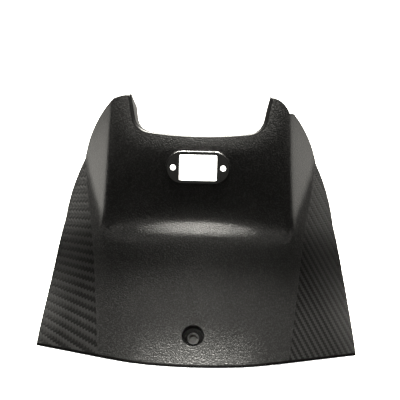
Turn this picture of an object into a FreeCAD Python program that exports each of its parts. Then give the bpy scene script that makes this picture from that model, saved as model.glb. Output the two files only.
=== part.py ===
"""Charging port cover of an electric scooter: one moulded panel, open at the back.

Millimetres. X is to the right, Y goes back into the vehicle and Z is up. The origin is the middle of
the charging window, on the front face of the port pad.
"""
import math
import os

import FreeCAD
import Part
import Sketcher
from FreeCAD import Placement, Rotation, Vector

doc = FreeCAD.newDocument("charging_port_cover")

# Driving sizes, in millimetres unless the name says otherwise
SIZES = {
    # Moulding
    "wall": 2.5,
    "lip_depth": 7,
    # Upper panel: depth at the window's height, lean back below it, roll back above it
    "panel_depth": 0.6,
    "panel_lean_deg": 6,
    "panel_crown": 5,
    "roll_height": 12.5,
    "roll_deg": 24.2,
    "roll_round": 8,
    "roll_fade": 0.6,
    # Crease from the panel to the side facets
    "crease_half": 73.6,
    "crease_taper_deg": 2.9,
    "crease_round": 3,
    "facet_deg": 53,
    # Apron below the shelf
    "waist_front": 8,
    "waist_drop": 75,
    "flare_radius": 105,
    "plan_radius": 159,
    # Shelf between the panel and the apron
    "shelf_drop": 53,
    "shelf_deg": 51.3,
    "shelf_arch": 8,
    "shelf_nose": 6,
    "shelf_root": 5,
    "root_fade": 0.6,
    # Wings at the sides of the apron
    "wing_half": 76,
    "wing_depth": 11.3,
    "wing_drop": 48,
    "wing_deg": 31.8,
    "wing_lean_deg": 14.6,
    "wing_round": 3,
    # Net of poles that carries the skins: steps, growths from step to step, overhang, passes
    "net_step": 2,
    "net_growth_out": 1.2,
    "net_growth_in": 1.6,
    "net_rise": 3.2,
    "net_growth_up": 1.1,
    "net_growth_down": 1.2,
    "net_arch_reach": 30,
    "net_overhang": 8,
    "net_passes": 8,
    # Front outline
    "base_half": 133,
    "base_drop": 152,
    "side_half": 112,
    "side_drop": 46,
    "side_radius": 900,
    "shoulder_half": 96.5,
    "shoulder_height": 4.5,
    "shoulder_radius": 158,
    "horn_half": 56,
    "horn_height": 58.5,
    "left_corner_half": 70,
    "left_corner_height": 54.5,
    "left_top_radius": 50,
    "left_facet_radius": 83,
    "right_corner_half": 72.3,
    "right_corner_height": 45,
    "right_top_radius": 21,
    "right_step": 3.5,
    "right_facet_radius": 85,
    # Notch at the top, and the flange behind its edge
    "notch_half": 50.3,
    "notch_height": 29.6,
    "notch_top_half": 60,
    "notch_top": 75,
    "notch_sag_radius": 318,
    "notch_corner": 14,
    "flange_crown_depth": 14,
    "flange_top_depth": 45,
    "flange_top_drop": 10,
    "flange_low_depth": 22,
    "flange_low": 20,
    # Port pad, its window and its screw holes
    "pad_width": 50.6,
    "pad_height": 25.8,
    "pad_depth": 9,
    "window_width": 30,
    "window_height": 20.6,
    "window_corner": 1.2,
    "port_pitch": 40,
    "port_hole": 4.5,
    # Lower fixing: a counterbored cup square to the apron
    "fixing_drop": 130,
    "cup_bore": 16.6,
    "cup_wall": 2.2,
    "cup_depth": 9,
    "cup_floor": 3,
    "fixing_hole": 6.6,
    "collar_diameter": 9.6,
    "collar_height": 0.8,
}
sheet = doc.addObject("Spreadsheet::Sheet", "sizes")
for row, (alias, value) in enumerate(SIZES.items(), start=1):
    sheet.set("A%d" % row, alias)
    sheet.set("B%d" % row, str(value))
    sheet.setAlias("B%d" % row, alias)
doc.recompute()


def size(alias):
    """Number in the sheet's cell of that name."""
    return float(sheet.get(alias))


def slope(alias):
    """Tangent of an angle kept in degrees in the sheet."""
    return math.tan(math.radians(size(alias)))


# Outer skin: its depth y at any place x, z of the front view
def round_max(a, b, width):
    """The larger of a and b, eased over a width where they cross."""
    return 0.5 * (a + b + math.hypot(a - b, width))


def round_min(a, b, width):
    """The smaller of a and b, eased over a width where they cross."""
    return 0.5 * (a + b - math.hypot(a - b, width))


def crease_half(z):
    """Half width of the upper panel at a height."""
    return size("crease_half") - slope("crease_taper_deg") * z


def panel_depth(x, z):
    """Upper panel: leans back downwards, and rolls back to the notch."""
    lean = slope("panel_lean_deg")
    across = x / size("crease_half")
    rise = slope("roll_deg") * (1 - size("roll_fade") * min(abs(across), 1) ** 2)
    roll = (rise + lean) * (z - size("roll_height"))
    crown = size("panel_crown") * across ** 2
    return size("panel_depth") - lean * z + round_max(0, roll, size("roll_round")) + crown


def column_depth(x, z):
    """Upper panel with the facets that go back from its creases."""
    edge = crease_half(z)
    facet = panel_depth(edge, z) + slope("facet_deg") * (abs(x) - edge)
    return round_max(panel_depth(x, z), facet, size("crease_round"))


def apron_depth(x, z):
    """Apron: an arc in plan that runs out straight behind the wings, flared forwards below the waist."""
    below = min(z + size("waist_drop"), 0)
    radius = size("plan_radius")
    arc = min(abs(x), size("wing_half"))
    middle = math.sqrt(radius ** 2 - arc ** 2)
    plan = radius - middle + (abs(x) - arc) * arc / middle
    return plan - size("waist_front") - below ** 2 / (2 * size("flare_radius"))


def wing_depth(x, z):
    """Wing: nearly flat, turned to the side and leaning back upwards."""
    out = slope("wing_deg") * (abs(x) - size("wing_half"))
    return size("wing_depth") + out + slope("wing_lean_deg") * (z + size("wing_drop"))


def shelf_sink(x):
    """How far the arched shelf has come down at a place across the cover."""
    return size("shelf_arch") * min(abs(x) / size("wing_half"), 1) ** 2


def skirt_depth(x, z):
    """Apron and wings, with the arched shelf that closes the apron at the top."""
    across = min(abs(x) / size("wing_half"), 1)
    middle = 1 - across ** 2
    front = round_max(apron_depth(x, z), wing_depth(x, z), size("wing_round"))
    if across == 1:
        return front
    arch = -size("shelf_drop") - shelf_sink(x)
    lean = slope("wing_lean_deg")
    shelf = apron_depth(x, arch) + (lean + (slope("shelf_deg") - lean) * middle) * (z - arch)
    return round_max(front, shelf, size("shelf_nose") * middle)


def skin_depth(x, z):
    """Outer skin: whichever of the column and the skirt is nearer the front."""
    across = min(abs(x) / size("wing_half"), 1)
    root = size("shelf_root") * (1 - size("root_fade") * across ** 2)
    return round_min(column_depth(x, z), skirt_depth(x, z), root)


def wall_depth(x, z):
    """Inner skin: one wall behind the outer skin, measured square to it."""
    step = size("wall") / 5
    across = (skin_depth(x + step, z) - skin_depth(x - step, z)) / (2 * step)
    up = (skin_depth(x, z + step) - skin_depth(x, z - step)) / (2 * step)
    return skin_depth(x, z) + size("wall") * math.sqrt(1 + across ** 2 + up ** 2)


def graded(first, growth, reach):
    """Distances from zero to a reach, each step longer than the one before."""
    places = [0.0]
    step = first
    while places[-1] + step < reach - step / 2:
        places.append(places[-1] + step)
        step *= growth
    return places + [reach]


def cubic_knots(places):
    """Knots, and their multiplicities, of a cubic spline whose poles stand at the given places."""
    inner = [sum(places[i:i + 3]) / 3 for i in range(1, len(places) - 3)]
    return [places[0]] + inner + [places[-1]], [4] + [1] * len(inner) + [4]


def skin_surface(depth, margin):
    """Cubic surface on a net of poles, closest together at the creases and the shelf.

    A few passes then move the poles until the surface itself, not its net, has the wanted depths.
    """
    step = size("net_step")
    half = size("crease_half")
    outwards = graded(step, size("net_growth_out"), size("base_half") - half + margin)
    inwards = [p / half for p in graded(step, size("net_growth_in"), half)]
    above = graded(size("net_rise"), size("net_growth_up"), size("shelf_drop") + size("horn_height") + margin)
    below = graded(size("net_rise"), size("net_growth_down"), size("base_drop") - size("shelf_drop") + margin)
    heights = [-p for p in reversed(below)] + above[1:]
    net = []
    for height in heights:
        level = height - size("shelf_drop")
        edge = crease_half(level)
        right = [edge * (1 - p) for p in reversed(inwards)] + [edge + p for p in outwards[1:]]
        sag = math.exp(-abs(height) / size("net_arch_reach"))
        places = [(x, level - shelf_sink(x) * sag) for x in right]
        places = [(-x, z) for x, z in reversed(places)] + places[1:]
        net.append([Vector(x, depth(x, z), z) for x, z in places])
    columns = [pole.x for pole in net[0]]
    knots_up, turns_up = cubic_knots(heights)
    knots_across, turns_across = cubic_knots(columns)
    surface = Part.BSplineSurface()
    surface.buildFromPolesMultsKnots(net, turns_up, turns_across, knots_up, knots_across, False, False, 3, 3)
    for _ in range(int(size("net_passes"))):
        strayed = [[surface.value(up, across) for across in columns] for up in heights]
        for row, level in zip(net, strayed):
            for pole, spot in zip(row, level):
                pole.y += depth(spot.x, spot.z) - spot.y
        surface.buildFromPolesMultsKnots(net, turns_up, turns_across, knots_up, knots_across, False, False, 3, 3)
    return surface.toShape()


def add_skin(name, depth, margin):
    skin = doc.addObject("Part::Feature", name)
    skin.Shape = skin_surface(depth, margin)
    return skin


def add_depth(name, profile, length):
    """Solid from a face or outline, straight back along Y."""
    block = doc.addObject("Part::Extrusion", name)
    block.Base = profile
    block.DirMode = "Custom"
    block.Dir = Vector(0, 1, 0)
    block.Solid = True
    block.setExpression("LengthFwd", length)
    return block


def add_boolean(kind, name, base, tool):
    result = doc.addObject("Part::" + kind, name)
    result.Base = base
    result.Tool = tool
    return result


# Outlines: each coordinate and radius is a sum of sheet values, as {alias: factor}
def number(terms):
    return sum(factor * size(alias) for alias, factor in terms.items())


def formula(terms):
    return " + ".join("%g * sizes.%s" % (factor, alias) for alias, factor in terms.items())


def arc_edge(start, end, radius):
    """Arc from start to end, anticlockwise, so that it bulges out of an anticlockwise outline."""
    chord = end - start
    half = chord.Length / 2
    inwards = Vector(-chord.y, chord.x, 0).normalize()
    centre = (start + end) * 0.5 + inwards * math.sqrt(max(radius ** 2 - half ** 2, 0))
    circle = Part.Circle(centre, Vector(0, 0, 1), max(radius, half))
    return Part.ArcOfCircle(circle, circle.parameter(start), circle.parameter(end))


def add_outline(body, name, plane, corners, arcs):
    """Closed sketch through corners. arcs gives a radius for the edge that leaves a corner, None a half round."""
    sketch = body.newObject("Sketcher::SketchObject", name)
    origin = [f for f in body.Origin.OriginFeatures if f.Role == plane][0]
    sketch.AttachmentSupport = [(origin, "")]
    sketch.MapMode = "FlatFace"
    points = [Vector(number(across), number(up), 0) for across, up in corners]
    count = len(points)
    for i, start in enumerate(points):
        end = points[(i + 1) % count]
        if i not in arcs:
            sketch.addGeometry(Part.LineSegment(start, end))
        elif arcs[i] is None:
            sketch.addGeometry(arc_edge(start, end, (end - start).Length / 2))
        else:
            sketch.addGeometry(arc_edge(start, end, number(arcs[i])))
    for i, (across, up) in enumerate(corners):
        sketch.addConstraint(Sketcher.Constraint("Coincident", i, 2, (i + 1) % count, 1))
        for kind, terms in (("DistanceX", across), ("DistanceY", up)):
            label = "corner%d_%s" % (i, kind)
            place = sketch.addConstraint(Sketcher.Constraint(kind, -1, 1, i, 1, number(terms)))
            sketch.renameConstraint(place, label)
            sketch.setExpression("Constraints." + label, formula(terms))
    for i, radius in arcs.items():
        if radius is None:
            sketch.addConstraint(Sketcher.Constraint("Symmetric", i, 1, i, 2, i, 3))
        else:
            place = sketch.addConstraint(Sketcher.Constraint("Radius", i, number(radius)))
            sketch.renameConstraint(place, "radius%d" % i)
            sketch.setExpression("Constraints.radius%d" % i, formula(radius))
    return sketch


def add_pad(name, plane, corners, arcs, length, start=None):
    """Body with one pad: both ways from its plane, or from a start depth back along Y."""
    body = doc.addObject("PartDesign::Body", name)
    sketch = add_outline(body, name + "_outline", plane, corners, arcs)
    pad = body.newObject("PartDesign::Pad", name + "_pad")
    pad.Profile = sketch
    pad.setExpression("Length", formula(length))
    if start is None:
        pad.SideType = "Symmetric"
    else:
        pad.Reversed = True
    if start:
        sketch.setExpression("AttachmentOffset.Base.z", formula({a: -f for a, f in start.items()}))
    doc.recompute()
    return body


def round_corners(body, radius, chosen):
    """Fillet of the pad's edges along Y that pass the test of place."""
    pad = body.Tip
    edges = []
    for i, edge in enumerate(pad.Shape.Edges, start=1):
        ends = [v.Point for v in edge.Vertexes]
        if len(ends) == 2 and (ends[1] - ends[0]).normalize().cross(Vector(0, 1, 0)).Length < 0.001:
            if chosen(ends[0]):
                edges.append("Edge%d" % i)
    fillet = body.newObject("PartDesign::Fillet", body.Name + "_corners")
    fillet.Base = (pad, edges)
    fillet.setExpression("Radius", formula(radius))
    doc.recompute()


def rectangle(half_width, half_height):
    left = {alias: -factor for alias, factor in half_width.items()}
    low = {alias: -factor for alias, factor in half_height.items()}
    return [(left, low), (half_width, low), (half_width, half_height), (left, half_height)]


def slot(inset):
    """Port pad's outline: a slot with half round ends, smaller by an inset of so many walls."""
    straight = {"pad_width": 0.5, "pad_height": -0.5}
    return rectangle(straight, {"pad_height": 0.5, "wall": -inset})


def notch(grow):
    """Notch outline, larger by so many walls, with a sagging bottom edge and splayed sides."""
    half = {"notch_half": 1, "wall": grow}
    low = {"notch_height": 1, "wall": -grow}
    top_half = {"notch_top_half": 1, "wall": grow}
    left = {alias: -factor for alias, factor in half.items()}
    top_left = {alias: -factor for alias, factor in top_half.items()}
    top = {"notch_top": 1}
    return [(left, low), (half, low), (top_half, top), (top_left, top)]


def front_corners(inset):
    """Front outline, smaller by so many walls. The horns' tops join over the notch, which is cut later."""
    def corner(side, half, height):
        across = {alias: side for alias in half}
        across["wall"] = -side * inset
        return across, height

    low = {"base_drop": -1, "wall": inset}
    top = {"horn_height": 1, "wall": -inset}
    right_top = {"right_corner_height": 1, "wall": -inset}
    left_top = {"left_corner_height": 1, "wall": -inset}
    return [
        corner(-1, ["base_half"], low),
        corner(1, ["base_half"], low),
        corner(1, ["side_half"], {"side_drop": -1}),
        corner(1, ["shoulder_half"], {"shoulder_height": 1}),
        corner(1, ["right_corner_half", "right_step"], right_top),
        corner(1, ["right_corner_half"], right_top),
        corner(1, ["horn_half"], top),
        corner(-1, ["horn_half"], top),
        corner(-1, ["left_corner_half"], left_top),
        corner(-1, ["shoulder_half"], {"shoulder_height": 1}),
        corner(-1, ["side_half"], {"side_drop": -1}),
    ]


# Lengths right through the moulding: to one side, both ways, and both ways with room to spare
BEHIND = {"flange_top_depth": 3}
FAR_BEHIND = {"flange_top_depth": 4}
THROUGH = {"flange_top_depth": 8}
CLEAR_THROUGH = {"flange_top_depth": 9}
END_ROUNDS = {1: None, 3: None}

# Shell: the space between the two skins, cut to the front outline
outer_skin = add_skin("outer_skin", skin_depth, size("net_overhang"))
inner_skin = add_skin("inner_skin", wall_depth, 2 * size("net_overhang"))
outer_block = add_depth("outer_block", outer_skin, formula(BEHIND))
inner_block = add_depth("inner_block", inner_skin, formula(FAR_BEHIND))
blank = add_boolean("Cut", "blank", outer_block, inner_block)

front_arcs = {
    1: {"side_radius": 1},
    2: {"shoulder_radius": 1},
    3: {"right_facet_radius": 1},
    5: {"right_top_radius": 1},
    7: {"left_top_radius": 1},
    8: {"left_facet_radius": 1},
    9: {"shoulder_radius": 1},
    10: {"side_radius": 1},
}
front = add_pad("front", "XZ_Plane", front_corners(0), front_arcs, THROUGH)
shell = add_boolean("Common", "shell", blank, front)

# Lip: the outer edge turned straight back all round
inset = add_pad("inset", "XZ_Plane", front_corners(1), front_arcs, CLEAR_THROUGH)
lip_band = add_depth("lip_band", outer_skin, "sizes.lip_depth")
lip_ring = add_boolean("Cut", "lip_ring", front, inset)
lip = add_boolean("Common", "lip", lip_band, lip_ring)


def low_corner(point):
    """Whether a corner of the notch is one of its two lower ones."""
    return point.z < size("horn_height")


def any_corner(point):
    return True


# Flange behind the notch's edge, deepest at the horns
core = add_pad("core", "XZ_Plane", notch(0), {0: {"notch_sag_radius": 1}}, THROUGH)
round_corners(core, {"notch_corner": 1}, low_corner)
sleeve = add_pad("sleeve", "XZ_Plane", notch(1), {0: {"notch_sag_radius": 1, "wall": 1}}, THROUGH)
round_corners(sleeve, {"notch_corner": 1, "wall": 1}, low_corner)
flange_corners = [
    ({"flange_top_depth": -1}, {"flange_low": 1}),
    ({"flange_low_depth": 1}, {"flange_low": 1}),
    ({"flange_top_depth": 1}, {"horn_height": 1, "flange_top_drop": -1}),
    ({"flange_crown_depth": 1}, {"horn_height": 1, "wall": 1}),
    ({"flange_top_depth": -1}, {"horn_height": 1, "wall": 1}),
]
reach = add_pad("reach", "YZ_Plane", flange_corners, {}, {"notch_top_half": 4})
solid_front = add_boolean("Common", "solid_front", outer_block, front)
flange_wall = add_boolean("Common", "flange_wall", sleeve, reach)
flange = add_boolean("Common", "flange", flange_wall, solid_front)

# Port pad: a flat slot-shaped seat on a skirt, cored from behind
pad = add_pad("pad", "XZ_Plane", slot(0), END_ROUNDS, {"pad_depth": 1}, {})
pad_core = add_pad("pad_core", "XZ_Plane", slot(1), END_ROUNDS, THROUGH, {"wall": 1})
pad_clear = add_pad("pad_clear", "XZ_Plane", slot(0), END_ROUNDS, THROUGH, {"flange_top_depth": -8})
window = add_pad("window", "XZ_Plane", rectangle({"window_width": 0.5}, {"window_height": 0.5}), {}, THROUGH)
round_corners(window, {"window_corner": 1}, any_corner)


def add_cylinder(name, diameter, length, placement):
    cylinder = doc.addObject("Part::Cylinder", name)
    cylinder.setExpression("Radius", formula({alias: factor / 2 for alias, factor in diameter.items()}))
    cylinder.setExpression("Height", formula(length))
    cylinder.Placement = placement
    return cylinder


def port_hole(name, side):
    along_y = Rotation(Vector(1, 0, 0), -90)
    start = Vector(side * size("port_pitch") / 2, -number(THROUGH) / 2, 0)
    return add_cylinder(name, {"port_hole": 1}, THROUGH, Placement(start, along_y))


# Lower fixing: its axis is square to the apron, and depths are measured from the skin
fixing_z = -size("fixing_drop")
fixing_tilt = math.degrees(math.atan((size("fixing_drop") - size("waist_drop")) / size("flare_radius")))
fixing_turn = Rotation(Vector(1, 0, 0), -90 - fixing_tilt)
fixing_inwards = fixing_turn.multVec(Vector(0, 0, 1))
fixing_mouth = Vector(0, skin_depth(0, fixing_z), fixing_z)


def on_fixing_axis(depth):
    return Placement(fixing_mouth + fixing_inwards * depth, fixing_turn)


overrun = on_fixing_axis(-size("cup_depth"))
cup_body = add_cylinder("cup_body", {"cup_bore": 1, "cup_wall": 2}, {"cup_depth": 2, "cup_floor": 1}, overrun)
cup = add_boolean("Common", "cup", cup_body, outer_block)
cup_mill = add_cylinder("cup_mill", {"cup_bore": 1}, {"cup_depth": 2}, overrun)
collar_top = on_fixing_axis(size("cup_depth") - size("collar_height"))
collar = add_cylinder("collar", {"collar_diameter": 1}, {"cup_depth": 1}, collar_top)
cup_space = add_boolean("Cut", "cup_space", cup_mill, collar)
fixing_hole = add_cylinder("fixing_hole", {"fixing_hole": 1}, {"cup_depth": 3, "cup_floor": 1}, overrun)

# One moulding
moulding = doc.addObject("Part::MultiFuse", "moulding")
moulding.Shapes = [shell, lip, flange, pad, cup]
cuts = doc.addObject("Part::MultiFuse", "cuts")
cuts.Shapes = [core, pad_core, pad_clear, window, port_hole("left_hole", -1), port_hole("right_hole", 1),
               cup_space, fixing_hole]
cover = add_boolean("Cut", "cover", moulding, cuts)
cover.Label = "port_cover"
doc.recompute()

# Write the part once every object is sound
for item in doc.Objects:
    if "Invalid" in item.State or "Error" in item.State:
        raise RuntimeError("%s failed: %s" % (item.Name, item.State))
if cover.Shape.isNull() or not cover.Shape.isValid() or len(cover.Shape.Solids) != 1:
    raise RuntimeError("the cover is not one sound solid")
os.makedirs("parts", exist_ok=True)
cover.Shape.Solids[0].exportStep("parts/%s.step" % cover.Label)
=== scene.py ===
"""Charging port cover on a pale studio floor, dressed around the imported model."""
import math

import bmesh
import bpy
import numpy as np
from mathutils import Matrix, Vector
from mathutils.bvhtree import BVHTree
from mathutils.geometry import delaunay_2d_cdt
from mathutils.kdtree import KDTree


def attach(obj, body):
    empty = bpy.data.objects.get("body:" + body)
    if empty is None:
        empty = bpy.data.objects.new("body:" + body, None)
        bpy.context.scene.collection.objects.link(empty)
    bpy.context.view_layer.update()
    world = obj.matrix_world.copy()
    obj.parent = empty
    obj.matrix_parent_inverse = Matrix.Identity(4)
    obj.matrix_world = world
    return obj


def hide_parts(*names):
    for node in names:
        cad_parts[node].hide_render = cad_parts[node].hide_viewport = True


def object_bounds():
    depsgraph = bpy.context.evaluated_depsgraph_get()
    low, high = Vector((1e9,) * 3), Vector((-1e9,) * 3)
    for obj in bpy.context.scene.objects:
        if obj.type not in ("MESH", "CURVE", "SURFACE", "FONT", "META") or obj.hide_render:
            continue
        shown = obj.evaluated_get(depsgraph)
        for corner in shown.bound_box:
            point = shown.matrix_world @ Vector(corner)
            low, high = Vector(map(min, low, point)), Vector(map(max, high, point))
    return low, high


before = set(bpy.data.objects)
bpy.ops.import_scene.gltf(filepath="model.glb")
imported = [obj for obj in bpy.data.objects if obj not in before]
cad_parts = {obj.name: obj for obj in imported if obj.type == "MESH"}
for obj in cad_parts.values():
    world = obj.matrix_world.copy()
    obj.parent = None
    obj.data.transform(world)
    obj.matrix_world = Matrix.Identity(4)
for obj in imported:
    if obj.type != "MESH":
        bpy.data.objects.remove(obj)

CAD_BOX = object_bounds()
MM = 0.001
BACK = Vector((0, 1, 0))
DIAGONAL = math.sqrt(2)

# Camera of the photograph, found from the cover's outline
PHOTO_SIZE = 400
PORT_PIXEL = (197.9, 168.0)
FOCAL_PIXELS = 882.0
CAMERA_DISTANCE = 700 * MM
CAMERA_AZIMUTH = math.radians(2.3)
CAMERA_ELEVATION = math.radians(4.0)
CAMERA_ROLL = math.radians(1.3)

# Rounding of the edges, in steps of which the first get a duller finish as painted shade, and limits on it in
# tight corners
OUTLINE_ROUND = 1.2 * MM
NOTCH_ROUND = 3.0 * MM
BASE_ROUND = 2.0 * MM
CUP_ROUND = 0.5 * MM
PAD_ROUND = 0.4 * MM
ROUND_STEPS = 6
PAINTED_SHADE_STEPS = 2
MITRE_LIMIT = 0.6
TURN_LIMIT = 0.9
REACH_LIMIT = 1.4

# Where the outline's rounding changes, and over what length: above the bottom, and in the notch both ways
BASE_FADE = (8 * MM, 6 * MM)
NOTCH_FADE_ACROSS = (62 * MM, 4 * MM)
NOTCH_FADE_UP = (10 * MM, 10 * MM)

# Spacing of the front mesh, and the room it leaves beside the rims and the twill's inner edge
RIM_STEP = 1.2 * MM
SKIN_PITCH = 1.1 * MM
ROW_RATIO = math.sqrt(0.75)
LINE_STEP = 0.8 * MM
LINE_START = CAD_BOX[0].z + 2.5 * MM
LINE_END = -1 * MM
RIM_ROOM = 0.65 * MM
PLAIN_ROOM = 0.5 * MM
WING_ROOM = 0.3 * MM

# Making of the mesh: tolerances, where rays start, how far places bulge, and the angle of a sharp edge
WELD = 0.002 * MM
LEVEL = 0.01 * MM
FILL_INSIDE = 1
FILL_NEAR = 1e-9
RAY_START = -1
BULGE = 0.5
SHARP_ANGLE = math.radians(35)

# Lines on the cover, from below upwards, as half widths and heights: inner edge of the twill, and the crease
TWILL_LINE = [(x * MM, z * MM) for x, z in ((75, -156), (77, -142), (80, -122), (83, -97), (85, -73),
                                            (87.2, -52), (91.7, -27), (95.3, 0), (97, 8))]
CREASE_LINE = [(x * MM, z * MM) for x, z in ((78.5, -52), (76.2, -47), (70.7, 62))]

# Twill: yarns pass over two and under two, with round crowns that sink at the ends of each float
TWILL_DEPTH = 0.25 * MM
TWILL_FADE = 1.6 * MM
TWILL_MARGIN = 0.4 * MM
TWILL_FLOAT = 2
TWILL_REPEAT = 4
CROWN_POWER = 2.2
FLOAT_END = 0.35

# Wings: the left one's ribs fan out, the right one's run straight
LEFT_FAN = (-371 * MM, -50 * MM)
LEFT_REACH = 266 * MM
LEFT_YARN = 2.37 * MM
LEFT_PARTS = 4
RIGHT_YARN = 1.6 * MM
RIGHT_TURN = math.radians(56)
RIGHT_PARTS = 3
WING_STRETCH = 1.15
WING_WIDTHS = (74 * MM, 138 * MM)
WING_HEIGHTS = (-156 * MM, 12 * MM)

# Fixing hole: middle of its bore, the way it goes in, and the sleeve that carries it on behind the cup,
# closed by a pale cap of painted light
FIXING_MIDDLE = Vector((0, -13.458 * MM, -134.686 * MM))
FIXING_INWARDS = Vector((0, 0.885832, -0.464007))
SLEEVE_RINGS = ((3.3 * MM, 5 * MM), (3.3 * MM, 1.9 * MM), (5.4 * MM, 1.9 * MM), (5.4 * MM, 6.5 * MM))
SLEEVE_SIDES = 48
CUP_BELOW = -100 * MM
# Painted light inside the cup, on faces that look out along the bore: paler within this reach, palest on the
# collar
CUP_REACH = 8.4 * MM
COLLAR_REACH = 4.8 * MM
SQUARE_ON = -0.9

# Labels of faces that the solid doesn't have
SLEEVE_LABEL = -1
# Cap of painted light at the bore's floor
PAINTED_LIGHT_CAP_LABEL = -2
# Painted shade along the rounded edges
PAINTED_SHADE_RIM_LABEL = -3
EDGE_LABEL = -4

# Finishes of the plastic, in the order of their slots, with the size and height of the grain
(BACK_SLOT, STIPPLE_SLOT, SATIN_SLOT, WARP_SLOT, WEFT_SLOT,
 PAINTED_LIGHT_SEAT_SLOT, PAINTED_LIGHT_BORE_SLOT, PAINTED_SHADE_RIM_SLOT, EDGE_SLOT, PAINTED_LIGHT_COLLAR_SLOT) = range(10)
FINISHES = (
    dict(name="cover_back", colour=0.008, roughness=0.45, shine=0.35),
    dict(name="cover_stipple", colour=0.001, roughness=0.32, grain=1.1 * MM, height=0.36 * MM, speck=0.022),
    dict(name="cover_satin", colour=0.002, roughness=0.38, grain=1.1 * MM, height=0.2 * MM, speck=0.02),
    # Warp painted paler than the weft, as painted sheen of yarns turned differently to the light; outer is
    # painted light towards the sides and upwards
    dict(name="cover_warp", colour=0.008, roughness=0.46, shine=0.36, outer=0.034),
    dict(name="cover_weft", colour=0.001, roughness=0.50, shine=0.17, outer=0.034),
    # Seat: paler as painted light, on the pad's face and on the floor of the cup
    dict(name="cover_seat_painted_light", colour=0.040, roughness=0.55, shine=0.1, grain=1.0 * MM, height=0.15 * MM),
    # Bore: pale, as painted light on the cap seen through the fixing hole
    dict(name="cover_bore_painted_light", colour=0.420, roughness=0.60),
    # Rim: duller, as painted shade for the dark line along the rounded edges
    dict(name="cover_rim_painted_shade", colour=0.003, roughness=0.60, shine=0.02),
    dict(name="cover_edge", colour=0.003, roughness=0.34, shine=0.1),
    # Collar: palest, as painted light on the collar inside the cup
    dict(name="cover_collar_painted_light", colour=0.200, roughness=0.50),
)
GRAIN_DETAIL = 2
SPECK_RANGE = (0.46, 0.66)
# Painted light on the wings: the range of the slanted value it spreads over, and how much height counts in it
PAINTED_WING_LIGHT = (50 * MM, 95 * MM)
PAINTED_LIGHT_SLANT = 0.45

# Lights stand at one distance from what they are aimed at, the foot of the panel or the apron
PANEL_AIM = Vector((0, 0, -50 * MM))
APRON_AIM = Vector((0, 0, -140 * MM))
LIGHT_DISTANCE = 1.1
LIGHT_COLOUR = (1, 0.97, 0.90)
WORLD_STRENGTH = 0.06

# Each light: name, azimuth and elevation (degrees), width and height (metres), watts, aim, spread (degrees)
LIGHTS = (
    ("top_back", 0, 99, 0.7, 0.08, 180, PANEL_AIM, 180),
    ("top", 0, 79, 0.7, 0.14, 17.5, PANEL_AIM, 180),
    ("front", 0, 48, 0.6, 0.10, 0.018, APRON_AIM, 12),
    ("front_low", 0, 22, 0.6, 0.10, 0.034, APRON_AIM, 13),
    ("front_low_left", -35, 18, 0.5, 0.10, 0.022, APRON_AIM, 13),
    ("front_low_right", 35, 18, 0.5, 0.10, 0.019, APRON_AIM, 13),
    ("front_level", 0, 2, 1.2, 0.10, 0.055, APRON_AIM, 11),
    ("left", -108, 0, 0.5, 0.5, 3.2, PANEL_AIM, 180),
    ("right", 108, 3, 0.5, 0.5, 2.8, PANEL_AIM, 180),
    ("fill_left", -45, 20, 0.5, 0.5, 0.7, PANEL_AIM, 180),
    ("fill_right", 45, 20, 0.5, 0.5, 0.6, PANEL_AIM, 180),
    ("back", 180, 10, 1.2, 0.6, 1.6, PANEL_AIM, 180),
)

# Floor, in metres, with a bend up to the wall behind the cover
FLOOR_GAP = 0.3 * MM
FLOOR_FRONT = -3.0
FLOOR_HALF = 4.0
WALL_TOP = 4.0
BEND_START = 0.9
BEND_RADIUS = 0.6
BEND_STEPS = 16
FLOOR_GREY = 0.86
FLOOR_ROUGHNESS = 0.8
FLOOR_GLOW = 0.7


def read(items, name, width, kind=float):
    """One property of all items of a mesh, as rows."""
    values = np.empty(len(items) * width, kind)
    items.foreach_get(name, values)
    return values.reshape(-1, width)


def unit(rows):
    """Rows scaled to a length of 1."""
    return rows / np.linalg.norm(rows, axis=1, keepdims=True)


def solid_faces(mesh):
    """Triangles of the solid, and a number for the face each is on. Faces share no vertices."""
    triangles = read(mesh.loops, "vertex_index", 1, int).reshape(-1, 3)
    group = np.arange(len(mesh.vertices))
    while True:
        lowest = group[triangles].min(axis=1)
        merged = group.copy()
        np.minimum.at(merged, triangles.ravel(), np.repeat(lowest, 3))
        merged = merged[merged]
        if (merged == group).all():
            return triangles, group[triangles[:, 0]]
        group = merged


def front_and_seat(mesh, triangles, group):
    """Numbers of the two faces that are laid out again: the front, and the seat on the pad."""
    corners = read(mesh.vertices, "co", 3)[triangles]
    facing = -np.cross(corners[:, 1] - corners[:, 0], corners[:, 2] - corners[:, 0])[:, 1]
    numbers = np.unique(group)
    towards = np.array([facing[group == n].sum() for n in numbers])
    level = np.array([np.abs(corners[group == n][:, :, 1]).max() < LEVEL for n in numbers])
    return numbers[towards.argmax()], numbers[np.where(level, towards, 0).argmax()]


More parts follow.
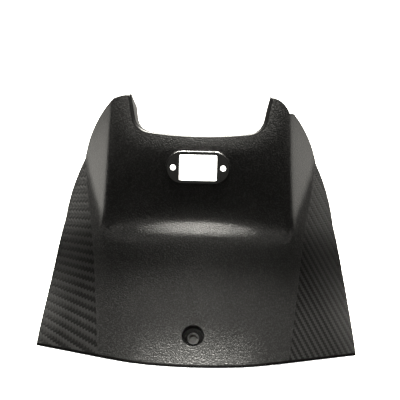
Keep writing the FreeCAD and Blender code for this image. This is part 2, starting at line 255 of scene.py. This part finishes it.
class Skin:
    """One face of the solid as a smooth surface between its vertices."""

    def __init__(self, mesh, triangles):
        self.triangles = triangles
        self.coords = read(mesh.vertices, "co", 3)
        self.normals = np.zeros_like(self.coords)
        corners = read(mesh.loops, "vertex_index", 1, int).ravel()
        self.normals[corners] = read(mesh.corner_normals, "vector", 3)
        self.tree = BVHTree.FromPolygons(self.coords.tolist(), triangles.tolist())

    def smooth(self, spots, index):
        """Places and normals on the curved surface for spots on its flat triangles."""
        spots = np.asarray(spots)
        corners = self.coords[self.triangles[index]]
        normals = self.normals[self.triangles[index]]
        a, b, c = corners[:, 0], corners[:, 1], corners[:, 2]
        whole = np.cross(b - a, c - a)
        size = (whole * whole).sum(1)
        share_b = (np.cross(spots - a, c - a) * whole).sum(1) / size
        share_c = (np.cross(b - a, spots - a) * whole).sum(1) / size
        shares = np.stack([1 - share_b - share_c, share_b, share_c], axis=1)[:, :, None]
        rise = ((spots[:, None] - corners) * normals).sum(2, keepdims=True)
        places = spots - BULGE * (shares * rise * normals).sum(1)
        return places, unit((shares * normals).sum(1))

    def ahead(self, flat):
        """Places and normals straight behind spots of the front view, and which spots have any."""
        spots, index, hit = [], [], []
        for x, z in flat:
            spot, _, face, _ = self.tree.ray_cast((x, RAY_START, z), BACK)
            hit.append(spot is not None)
            if spot is not None:
                spots.append(spot)
                index.append(face)
        places, normals = self.smooth(spots, index)
        return places, normals, np.array(hit)

    def near(self, points):
        """Places and normals nearest to points."""
        found = [self.tree.find_nearest(p) for p in points]
        return self.smooth([f[0] for f in found], [f[2] for f in found])


def half_width(row):
    """How far a row of vertices reaches to either side."""
    return max(abs(v.co.x) for v in row)


def rim_rows(bm, label, number):
    """Closed rows of vertices round one face of the solid, widest first, after its long edges are divided."""
    def rim():
        return [e for e in bm.edges if [f[label] == number for f in e.link_faces].count(True) == 1]

    for edge in rim():
        vert = edge.verts[0]
        for left in range(math.ceil(edge.calc_length() / RIM_STEP), 1, -1):
            vert = bmesh.utils.edge_split(edge, vert, 1 / left)[1]
    beside = {}
    for edge in rim():
        a, b = edge.verts
        beside.setdefault(a, []).append(b)
        beside.setdefault(b, []).append(a)
    rows = []
    while beside:
        row = [next(iter(beside))]
        while row[-1] in beside:
            ways = [v for v in beside.pop(row[-1]) if v in beside]
            if not ways:
                break
            row.append(ways[0])
        rows.append(row)
    return sorted(rows, key=half_width, reverse=True)


def join_rings(bm, ring, after, label, number):
    """Quads between two closed rows of as many vertices."""
    for i in range(len(ring)):
        j = (i + 1) % len(ring)
        bm.faces.new((ring[i], ring[j], after[j], after[i]))[label] = number


def round_rim(bm, row, skin, radius, back, label, number):
    """Rounds an edge: sets its vertices back on the wall and adds rows up to the skin. Returns the last."""
    edge = np.array([v.co for v in row])
    _, normals = skin.near(edge)
    along = unit(np.roll(edge, -1, 0) - edge)
    mean = unit(along + np.roll(along, 1, 0))
    mitre = 1 / np.maximum((mean * along).sum(1), MITRE_LIMIT)
    inwards = unit(np.cross(normals, mean))
    side = 0
    for vert, way in zip(row, inwards):
        for face in vert.link_faces:
            if face[label] == number:
                side += math.copysign(1, (face.calc_center_median() - vert.co).dot(Vector(way)))
    inwards *= math.copysign(1, side)
    back = np.array(back)
    half = np.arccos(np.clip(inwards @ back, -TURN_LIMIT, TURN_LIMIT)) / 2
    reach = np.broadcast_to(np.minimum(radius / np.tan(half), REACH_LIMIT * radius), len(row))[:, None]
    last = row
    for step in range(1, ROUND_STEPS + 1):
        share = step / ROUND_STEPS
        places = edge + reach * ((1 - share) ** 2 * back + share ** 2 * mitre[:, None] * inwards)
        if step == ROUND_STEPS:
            places, _ = skin.near(places)
        ring = [bm.verts.new(p) for p in places]
        # The first steps, by the wall, get the painted shade of the rim
        join_rings(bm, last, ring, label, PAINTED_SHADE_RIM_LABEL if step <= PAINTED_SHADE_STEPS else EDGE_LABEL)
        last = ring
    for vert, place in zip(row, edge + reach * back):
        vert.co = place
    return last


def fill(bm, outer, holes, places, lines, label, number):
    """Triangles from a closed row to the holes in it, through loose places and along open lines."""
    flat = []
    known = []
    edges = []
    hole_of = []
    for n, row in enumerate([outer] + holes):
        first = len(flat)
        flat += [(v.co.x, v.co.z) for v in row]
        known += row
        hole_of += [n] * len(row)
        edges += [(first + i, first + (i + 1) % len(row)) for i in range(len(row))]
    for line in lines:
        first = len(flat)
        flat += [(p[0], p[2]) for p in line]
        known += [bm.verts.new(p) for p in line]
        hole_of += [-1] * len(line)
        edges += [(first + i, first + i + 1) for i in range(len(line) - 1)]
    loose = len(flat)
    flat += [(p[0], p[2]) for p in places]
    hole_of += [-1] * len(places)
    flat = [Vector(p) for p in flat]
    _, _, faces, sources, _, _ = delaunay_2d_cdt(flat, edges, [], FILL_INSIDE, FILL_NEAR)
    made = {}
    for face in faces:
        origins = [sources[i][0] if sources[i] else None for i in face]
        if None in origins:
            continue
        owner = {hole_of[o] for o in origins}
        if len(owner) == 1 and owner.pop() > 0:
            continue
        corners = []
        for origin in origins:
            if origin < loose:
                corners.append(known[origin])
            else:
                if origin not in made:
                    made[origin] = bm.verts.new(places[origin - loose])
                corners.append(made[origin])
        bm.faces.new(corners)[label] = number


def line_at(line, height):
    """Half width on a line of the cover at a height."""
    heights = [p[1] for p in line]
    return np.interp(height, heights, [p[0] for p in line])


def wing_side(x, z):
    """How far a spot of the front view is outside the twill's inner edge."""
    return np.abs(x) - line_at(TWILL_LINE, z)


def twill_counts(x, z, left):
    """Place on a wing, counted in yarns both ways. The ribs are the diagonals."""
    if left:
        across = x - LEFT_FAN[0]
        up = z - LEFT_FAN[1]
        over = LEFT_REACH * np.arctan2(up, across)
        along = WING_STRETCH * (np.hypot(across, up) - LEFT_REACH)
        yarn = LEFT_YARN
    else:
        over = WING_STRETCH * x * math.sin(RIGHT_TURN) + z * math.cos(RIGHT_TURN)
        along = WING_STRETCH * x * math.cos(RIGHT_TURN) - z * math.sin(RIGHT_TURN)
        yarn = RIGHT_YARN
    return (over + along) / (DIAGONAL * yarn), (over - along) / (DIAGONAL * yarn)


def twill_place(u, v, left):
    """Spot of the front view for counts of yarns both ways."""
    yarn = LEFT_YARN if left else RIGHT_YARN
    over = (u + v) * yarn / DIAGONAL
    along = (u - v) * yarn / DIAGONAL
    if left:
        away = along / WING_STRETCH + LEFT_REACH
        turn = over / LEFT_REACH
        return LEFT_FAN[0] + away * np.cos(turn), LEFT_FAN[1] + away * np.sin(turn)
    x = (over * math.sin(RIGHT_TURN) + along * math.cos(RIGHT_TURN)) / WING_STRETCH
    return x, over * math.cos(RIGHT_TURN) - along * math.sin(RIGHT_TURN)


def twill_step(u, v):
    """Which yarn of the repeat is on top: the first ones belong to the warp, the others to the weft."""
    return (np.floor(u) + np.floor(v)) % TWILL_REPEAT


def twill_height(u, v):
    """Height of the yarns, from 0 to 1."""
    step = twill_step(u, v)
    part_u = u - np.floor(u)
    part_v = v - np.floor(v)
    first = step < TWILL_FLOAT
    across = np.where(first, part_u, part_v)
    float_share = np.where(first, step + part_v, step - TWILL_FLOAT + part_u) / TWILL_FLOAT
    crown = 1 - np.abs(2 * across - 1) ** CROWN_POWER
    return crown * (FLOAT_END + (1 - FLOAT_END) * np.sin(math.pi * float_share))


def wing_spots(left):
    """Spots of the front view on a grid along a wing's yarns."""
    parts = LEFT_PARTS if left else RIGHT_PARTS
    side = -1 if left else 1
    corners = [twill_counts(np.array(side * x), np.array(z), left) for x in WING_WIDTHS for z in WING_HEIGHTS]
    low = np.floor(np.min(corners, axis=0))
    high = np.ceil(np.max(corners, axis=0))
    u, v = np.meshgrid(np.arange(low[0], high[0], 1 / parts), np.arange(low[1], high[1], 1 / parts))
    x, z = twill_place(u.ravel(), v.ravel(), left)
    keep = (x * side > 0) & (wing_side(x, z) > WING_ROOM)
    return np.stack([x[keep], z[keep]], axis=1)


def plain_spots():
    """Spots of the front view on an even grid, outside the wings."""
    rows = np.arange(CAD_BOX[0].z, CAD_BOX[1].z, SKIN_PITCH * ROW_RATIO)
    spots = []
    for n, z in enumerate(rows):
        x = np.arange(CAD_BOX[0].x + (n % 2) * SKIN_PITCH / 2, CAD_BOX[1].x, SKIN_PITCH)
        spots.append(np.stack([x, np.full_like(x, z)], axis=1))
    spots = np.concatenate(spots)
    return spots[wing_side(spots[:, 0], spots[:, 1]) < -PLAIN_ROOM]


def outline_round(row):
    """Rounding at each vertex of the outline: larger in the notch and along the bottom."""
    def fade(room, over):
        return np.clip(room / over, 0, 1)

    x = np.array([abs(v.co.x) for v in row])
    z = np.array([v.co.z for v in row])
    base = fade(CAD_BOX[0].z + BASE_FADE[0] - z, BASE_FADE[1])
    across = fade(NOTCH_FADE_ACROSS[0] - x, NOTCH_FADE_ACROSS[1])
    notch = across * fade(z - NOTCH_FADE_UP[0], NOTCH_FADE_UP[1])
    return OUTLINE_ROUND + (BASE_ROUND - OUTLINE_ROUND) * base + (NOTCH_ROUND - OUTLINE_ROUND) * notch


def lay_pad(bm, skin, label, seat):
    """Lays out the pad's seat again, with every edge rounded a little."""
    rows = rim_rows(bm, label, seat)
    old = [f for f in bm.faces if f[label] == seat]
    rows = [round_rim(bm, row, skin, PAD_ROUND, BACK, label, seat) for row in rows]
    bmesh.ops.delete(bm, geom=old, context="FACES_ONLY")
    fill(bm, rows[0], rows[1:], [], [], label, seat)


def twill_edges(skin):
    """Open lines along the twill's inner edges."""
    z = np.arange(LINE_START, LINE_END, LINE_STEP)
    x = line_at(TWILL_LINE, z)
    return [skin.ahead(np.stack([side * x, z], axis=1))[0] for side in (-1, 1)]


def front_places(skin, rims):
    """Places on the front that are clear of its rims, with the twill's relief on the wings."""
    spots = np.concatenate([plain_spots(), wing_spots(True), wing_spots(False)])
    places, normals, hit = skin.ahead(spots)
    spots = spots[hit]
    wing = wing_side(spots[:, 0], spots[:, 1])
    tree = KDTree(len(rims))
    for i, p in enumerate(rims):
        tree.insert((p.x, 0, p.z), i)
    tree.balance()
    gap = np.array([tree.find((x, 0, z))[2] for x, z in spots])
    relief = np.zeros(len(spots))
    for left in (True, False):
        mine = (wing > 0) & ((spots[:, 0] < 0) == left)
        relief[mine] = twill_height(*twill_counts(spots[mine, 0], spots[mine, 1], left))
    fade = np.clip(np.minimum(wing, gap - TWILL_MARGIN) / TWILL_FADE, 0, 1)
    places = places + normals * (TWILL_DEPTH * fade * (relief - 1))[:, None]
    return [tuple(p) for p in places[gap > RIM_ROOM]]


def lay_front(bm, skin, label, front):
    """Lays out the front again, inside the outline with its notch and round the cup's mouth and the pad."""
    rows = rim_rows(bm, label, front)
    old = [f for f in bm.faces if f[label] == front]
    kept = []
    rims = []
    for n, row in enumerate(rows):
        rims += [v.co.copy() for v in row]
        middle = sum((v.co for v in row), Vector()) / len(row)
        if n == 0:
            row = round_rim(bm, row, skin, outline_round(row), BACK, label, front)
        elif middle.z < CUP_BELOW:
            _, axis = skin.near([middle])
            row = round_rim(bm, row, skin, CUP_ROUND, -axis[0], label, front)
        rims += [v.co.copy() for v in row]
        kept.append(row)
    bmesh.ops.delete(bm, geom=old, context="FACES_ONLY")
    lines = twill_edges(skin)
    fill(bm, kept[0], kept[1:], front_places(skin, rims), lines, label, front)


def add_sleeve(bm, label):
    """Short closed sleeve behind the cup, round the fixing hole, with a pale cap at its floor as painted
    light.
    """
    side = Vector((1, 0, 0))
    other = FIXING_INWARDS.cross(side)
    turns = [2 * math.pi * i / SLEEVE_SIDES for i in range(SLEEVE_SIDES)]
    ways = [math.cos(a) * side + math.sin(a) * other for a in turns]
    rings = []
    for radius, depth in SLEEVE_RINGS:
        centre = FIXING_MIDDLE + FIXING_INWARDS * depth
        rings.append([bm.verts.new(centre + radius * way) for way in ways])
    for ring, after in zip(rings, rings[1:]):
        join_rings(bm, ring, after, label, SLEEVE_LABEL)
    # Pale cap at the bore's floor: painted light seen through the hole
    bm.faces.new(rings[0])[label] = PAINTED_LIGHT_CAP_LABEL
    bm.faces.new(rings[-1])[label] = SLEEVE_LABEL


def cup_painted_light_slot(face):
    """Finish of a face behind the front, with painted light inside the cup: paler on the floor of the cup,
    and palest on the collar there.
    """
    away = face.calc_center_median() - FIXING_MIDDLE
    depth = away.dot(FIXING_INWARDS)
    from_axis = (away - depth * FIXING_INWARDS).length
    square = face.normal.dot(FIXING_INWARDS) < SQUARE_ON
    if not square or from_axis > CUP_REACH or abs(depth) > CUP_REACH:
        return BACK_SLOT
    return PAINTED_LIGHT_COLLAR_SLOT if from_axis < COLLAR_REACH else PAINTED_LIGHT_SEAT_SLOT


def front_slot(x, z):
    """Finish of the front at a spot of the front view."""
    if wing_side(x, z) > 0:
        step = twill_step(*twill_counts(x, z, x < 0))
        return WARP_SLOT if step < TWILL_FLOAT else WEFT_SLOT
    if z > CREASE_LINE[0][1] and abs(x) > line_at(CREASE_LINE, z):
        return SATIN_SLOT
    return STIPPLE_SLOT


def make_cover(solid):
    """The cover as one mesh: the solid's walls and back, and its front laid out again with rounded edges."""
    mesh = solid.data
    triangles, group = solid_faces(mesh)
    front, seat = front_and_seat(mesh, triangles, group)
    bm = bmesh.new()
    bm.from_mesh(mesh)
    label = bm.faces.layers.int.new("solid_face")
    for face, number in zip(bm.faces, group):
        face[label] = int(number)
    bmesh.ops.remove_doubles(bm, verts=bm.verts, dist=WELD)
    lay_pad(bm, Skin(mesh, triangles[group == seat]), label, seat)
    lay_front(bm, Skin(mesh, triangles[group == front]), label, front)
    add_sleeve(bm, label)
    bmesh.ops.recalc_face_normals(bm, faces=bm.faces)
    slots = {seat: PAINTED_LIGHT_SEAT_SLOT, PAINTED_LIGHT_CAP_LABEL: PAINTED_LIGHT_BORE_SLOT, PAINTED_SHADE_RIM_LABEL: PAINTED_SHADE_RIM_SLOT, EDGE_LABEL: EDGE_SLOT}
    for face in bm.faces:
        face.smooth = True
        if face[label] == front:
            middle = face.calc_center_median()
            face.material_index = front_slot(middle.x, middle.z)
        else:
            face.material_index = slots.get(face[label], cup_painted_light_slot(face))
    result = bpy.data.meshes.new("cover_moulding")
    bm.to_mesh(result)
    bm.free()
    result.set_sharp_from_angle(angle=SHARP_ANGLE)
    return result


def grey(value):
    """Colour without a tint."""
    return (value, value, value, 1)


def blend_colour(tree, value, ends, first, last):
    """Base colour that goes from one grey to another as a value goes from end to end."""
    share = tree.nodes.new("ShaderNodeMapRange")
    share.inputs["From Min"].default_value = ends[0]
    share.inputs["From Max"].default_value = ends[1]
    tree.links.new(value, share.inputs["Value"])
    mixed = tree.nodes.new("ShaderNodeMix")
    mixed.data_type = "RGBA"
    mixed.inputs["A"].default_value = grey(first)
    mixed.inputs["B"].default_value = grey(last)
    tree.links.new(share.outputs["Result"], mixed.inputs["Factor"])
    tree.links.new(mixed.outputs["Result"], tree.nodes["Principled BSDF"].inputs["Base Color"])


def add_grain(tree, grain, height):
    """Bump of a fine grain. Returns the noise behind it."""
    place = tree.nodes.new("ShaderNodeTexCoord")
    noise = tree.nodes.new("ShaderNodeTexNoise")
    noise.inputs["Scale"].default_value = 1 / grain
    noise.inputs["Detail"].default_value = GRAIN_DETAIL
    tree.links.new(place.outputs["Object"], noise.inputs["Vector"])
    bump = tree.nodes.new("ShaderNodeBump")
    bump.inputs["Strength"].default_value = 1
    bump.inputs["Distance"].default_value = height
    tree.links.new(noise.outputs["Fac"], bump.inputs["Height"])
    tree.links.new(bump.outputs["Normal"], tree.nodes["Principled BSDF"].inputs["Normal"])
    return noise.outputs["Fac"]


def add_painted_light_share(tree):
    """Share of the painted light on the wings: grows towards the sides of the cover, and somewhat upwards."""
    place = tree.nodes.new("ShaderNodeTexCoord")
    parts = tree.nodes.new("ShaderNodeSeparateXYZ")
    tree.links.new(place.outputs["Object"], parts.inputs["Vector"])
    away = tree.nodes.new("ShaderNodeMath")
    away.operation = "ABSOLUTE"
    tree.links.new(parts.outputs["X"], away.inputs[0])
    slanted = tree.nodes.new("ShaderNodeMath")
    slanted.operation = "MULTIPLY_ADD"
    slanted.inputs[1].default_value = PAINTED_LIGHT_SLANT
    tree.links.new(parts.outputs["Z"], slanted.inputs[0])
    tree.links.new(away.outputs["Value"], slanted.inputs[2])
    return slanted.outputs["Value"]


def plastic(name, colour, roughness, shine=0.5, grain=None, height=None, speck=None, outer=None):
    """Black plastic, with a grain that may have paler specks, or with a painted light that makes it paler
    towards the sides.
    """
    material = bpy.data.materials.new(name)
    material.use_nodes = True
    tree = material.node_tree
    shader = tree.nodes["Principled BSDF"]
    shader.inputs["Base Color"].default_value = grey(colour)
    shader.inputs["Roughness"].default_value = roughness
    shader.inputs["Specular IOR Level"].default_value = shine
    if grain is not None:
        noise = add_grain(tree, grain, height)
        if speck is not None:
            blend_colour(tree, noise, SPECK_RANGE, colour, speck)
    # Painted light: paler towards the sides of the cover, and somewhat upwards
    if outer is not None:
        blend_colour(tree, add_painted_light_share(tree), PAINTED_WING_LIGHT, colour, outer)
    return material


def add_cover():
    """The cover in its finishes, in place of the solid."""
    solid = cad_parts["port_cover"]
    cover = bpy.data.objects.new("cover_moulding", make_cover(solid))
    bpy.context.collection.objects.link(cover)
    for finish in FINISHES:
        cover.data.materials.append(plastic(**finish))
    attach(cover, "root")
    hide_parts("port_cover")


def direction(azimuth, elevation):
    """Way from the cover: azimuth from the front to the right, elevation upwards, in radians."""
    return Vector((math.sin(azimuth) * math.cos(elevation),
                   -math.cos(azimuth) * math.cos(elevation),
                   math.sin(elevation)))


def add_camera():
    """Camera that puts the middle of the charging window on its pixel of the photograph."""
    back = direction(CAMERA_AZIMUTH, CAMERA_ELEVATION)
    level = Vector((math.cos(CAMERA_AZIMUTH), math.sin(CAMERA_AZIMUTH), 0))
    upright = back.cross(level)
    right = level * math.cos(CAMERA_ROLL) + upright * math.sin(CAMERA_ROLL)
    up = back.cross(right)
    metres_per_pixel = CAMERA_DISTANCE / FOCAL_PIXELS
    across = (PORT_PIXEL[0] - PHOTO_SIZE / 2) * metres_per_pixel
    above = (PHOTO_SIZE / 2 - PORT_PIXEL[1]) * metres_per_pixel
    data = bpy.data.cameras.new("camera")
    data.lens = data.sensor_width * FOCAL_PIXELS / PHOTO_SIZE
    camera = bpy.data.objects.new("camera", data)
    camera.matrix_world = Matrix((right, up, back)).transposed().to_4x4()
    camera.location = back * CAMERA_DISTANCE - right * across - up * above
    bpy.context.collection.objects.link(camera)
    bpy.context.scene.camera = camera


def add_light(name, azimuth, elevation, width, height, watts, aim, spread):
    """Soft light round the cover, or a narrow beam where its spread is small."""
    towards = direction(math.radians(azimuth), math.radians(elevation))
    data = bpy.data.lights.new(name, "AREA")
    data.shape = "RECTANGLE"
    data.size = width
    data.size_y = height
    data.energy = watts
    data.color = LIGHT_COLOUR
    data.spread = math.radians(spread)
    light = bpy.data.objects.new(name, data)
    light.visible_camera = False
    light.location = aim + LIGHT_DISTANCE * towards
    light.rotation_euler = (-towards).to_track_quat("-Z", "Y").to_euler()
    bpy.context.collection.objects.link(light)


def add_world():
    """Faint even light, and plain colours in the picture."""
    world = bpy.data.worlds.new("world")
    world.use_nodes = True
    background = world.node_tree.nodes["Background"]
    background.inputs["Color"].default_value = (*LIGHT_COLOUR, 1)
    background.inputs["Strength"].default_value = WORLD_STRENGTH
    bpy.context.scene.world = world
    bpy.context.scene.view_settings.view_transform = "Standard"


def add_floor():
    """Pale floor with a wall that curves up behind the cover."""
    low = CAD_BOX[0].z - FLOOR_GAP
    turns = [math.radians(90 * i / BEND_STEPS) for i in range(BEND_STEPS + 1)]
    profile = [(FLOOR_FRONT, low)]
    for turn in turns:
        profile.append((BEND_START + BEND_RADIUS * math.sin(turn), low + BEND_RADIUS * (1 - math.cos(turn))))
    profile.append((BEND_START + BEND_RADIUS, WALL_TOP))
    count = len(profile)
    verts = [(x, y, z) for x in (-FLOOR_HALF, FLOOR_HALF) for y, z in profile]
    faces = [(i, i + count, i + count + 1, i + 1) for i in range(count - 1)]
    mesh = bpy.data.meshes.new("floor")
    mesh.from_pydata(verts, [], faces)
    for polygon in mesh.polygons:
        polygon.use_smooth = True
    material = bpy.data.materials.new("floor")
    material.use_nodes = True
    shader = material.node_tree.nodes["Principled BSDF"]
    shader.inputs["Base Color"].default_value = grey(FLOOR_GREY)
    shader.inputs["Roughness"].default_value = FLOOR_ROUGHNESS
    shader.inputs["Emission Color"].default_value = grey(1)
    shader.inputs["Emission Strength"].default_value = FLOOR_GLOW
    mesh.materials.append(material)
    floor = bpy.data.objects.new("floor", mesh)
    bpy.context.collection.objects.link(floor)
    floor.visible_diffuse = False
    floor.visible_glossy = False


add_cover()
add_camera()
add_floor()
for row in LIGHTS:
    add_light(*row)
add_world()
